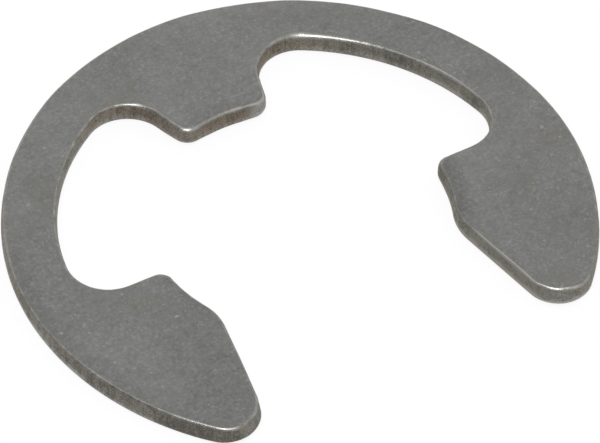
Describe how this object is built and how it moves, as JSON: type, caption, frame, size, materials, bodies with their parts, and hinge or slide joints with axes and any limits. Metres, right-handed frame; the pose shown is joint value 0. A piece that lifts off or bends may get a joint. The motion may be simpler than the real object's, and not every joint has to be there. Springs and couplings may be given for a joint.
{
  "type": "e clip",
  "caption": "External E-clip: a flat open ring of spring steel whose prong and two lugs grip a groove in a shaft, leaving a thin round shoulder.",
  "frame": {"origin": "on the shaft's axis, in the plane of the lower face, which went into the die first", "axes": "+Z through the thickness, along the shaft; the mouth opens towards -Y and the prong points down at the shaft from +Y; +X to the right with the mouth towards the viewer"},
  "size_m": [0.033, 0.0286, 0.0013],
  "materials": {
    "spring_steel": "dull tumbled grey steel, with browner sheared edges"
  },
  "bodies": {
    "root": {"e_clip": "spring_steel"}
  },
  "joints": []
}
